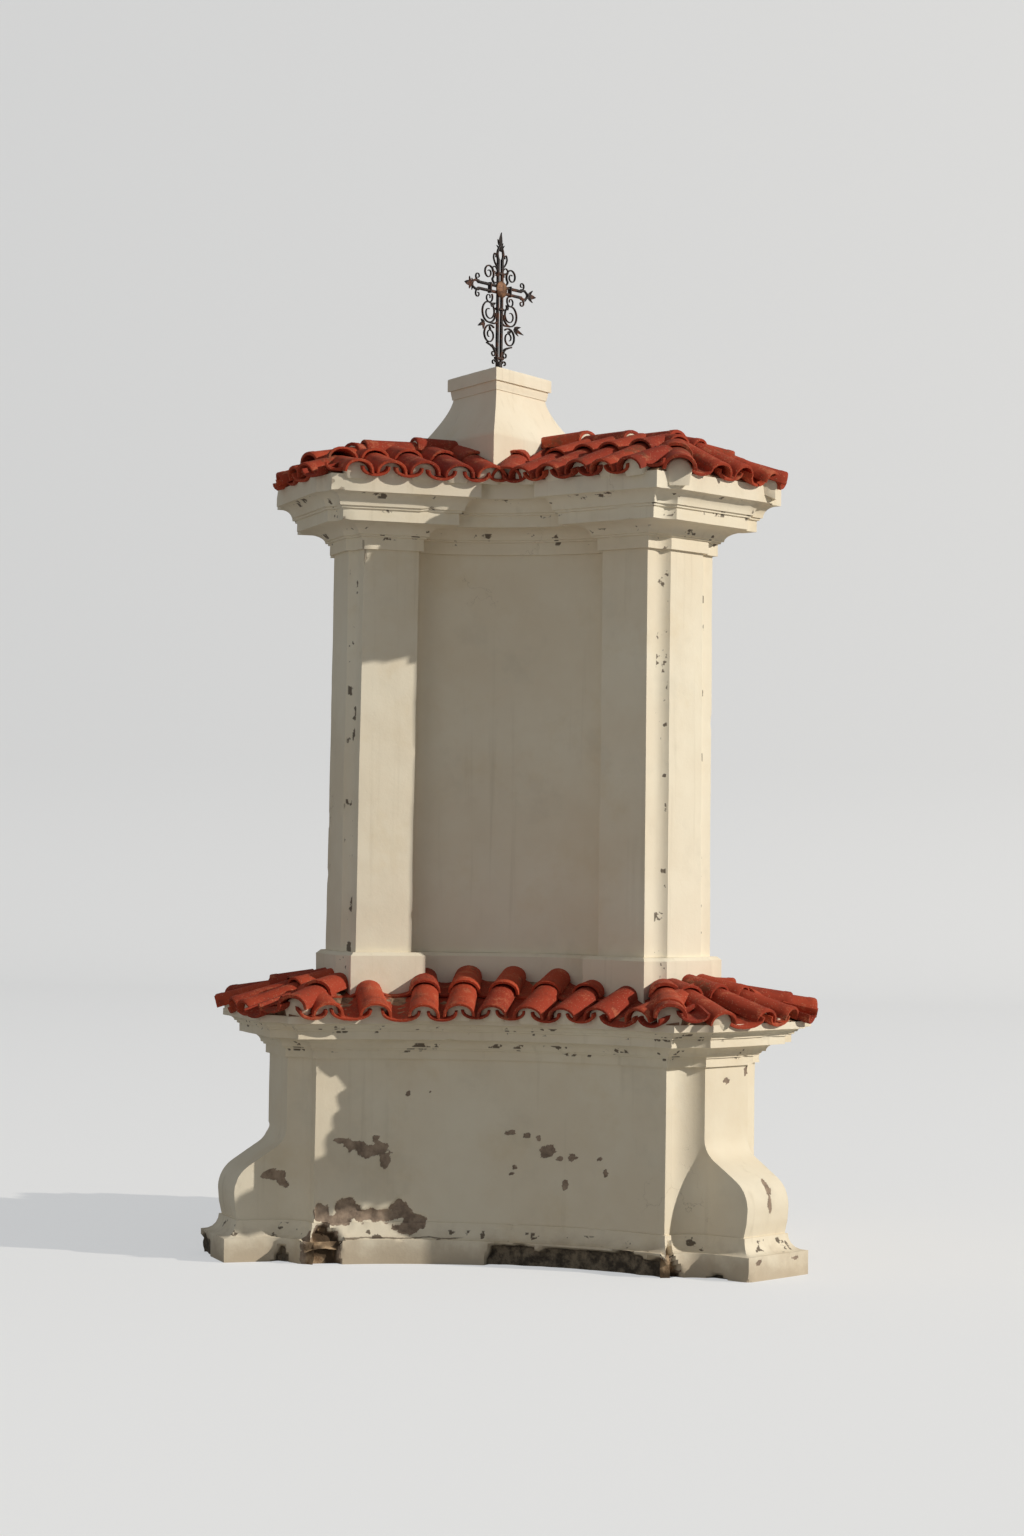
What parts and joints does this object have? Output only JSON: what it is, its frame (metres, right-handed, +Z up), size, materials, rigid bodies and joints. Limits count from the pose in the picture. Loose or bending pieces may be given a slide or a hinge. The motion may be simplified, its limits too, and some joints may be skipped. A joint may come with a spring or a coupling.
{
  "type": "wayside shrine",
  "caption": "Three-armed masonry wayside shrine with concave bays, volute buttresses, moulded cornices, two clay-tiled roofs, a cap and an iron cross; it stands on level ground.",
  "frame": {"origin": "on the ground at the middle of the three-armed plan", "axes": "+Z up, the front bay faces -Y, +X to its right"},
  "size_m": [2.7432, 2.4413, 4.365],
  "materials": {
    "lime_render": "cream lime wash on render, cracked and patched",
    "roof_tile": "half-round clay tiles, matt, orange red",
    "wrought_iron": "dark paint with rust",
    "bronze_disc": "dull brown patina"
  },
  "bodies": {
    "root": {"back_buttress": "lime_render", "back_corner_pier": "lime_render", "back_foot": "lime_render", "back_lower_cornice": "lime_render", "back_lower_roof": "roof_tile", "back_pilaster_a": "lime_render", "back_pilaster_b": "lime_render", "back_upper_cornice": "lime_render", "back_upper_roof": "roof_tile", "base_core": "lime_render", "cap_block": "lime_render", "cap_moulding": "lime_render", "cap_slab": "lime_render", "cross_arm_left": "wrought_iron", "cross_arm_right": "wrought_iron", "cross_disc": "bronze_disc", "cross_foot": "wrought_iron", "cross_scroll_lower_left": "wrought_iron", "cross_scroll_lower_right": "wrought_iron", "cross_scroll_upper_left": "wrought_iron", "cross_scroll_upper_right": "wrought_iron", "cross_stem": "wrought_iron", "cross_tip_left": "wrought_iron", "cross_tip_right": "wrought_iron", "cross_tip_top": "wrought_iron", "front_plinth": "lime_render", "left_buttress": "lime_render", "left_corner_pier": "lime_render", "left_foot": "lime_render", "left_lower_cornice": "lime_render", "left_lower_roof": "roof_tile", "left_pilaster_a": "lime_render", "left_pilaster_b": "lime_render", "left_rear_plinth": "lime_render", "left_upper_cornice": "lime_render", "left_upper_roof": "roof_tile", "right_buttress": "lime_render", "right_corner_pier": "lime_render", "right_foot": "lime_render", "right_lower_cornice": "lime_render", "right_lower_roof": "roof_tile", "right_pilaster_a": "lime_render", "right_pilaster_b": "lime_render", "right_rear_plinth": "lime_render", "right_upper_cornice": "lime_render", "right_upper_roof": "roof_tile", "shaft_core": "lime_render", "shaft_plinth": "lime_render"}
  },
  "joints": []
}
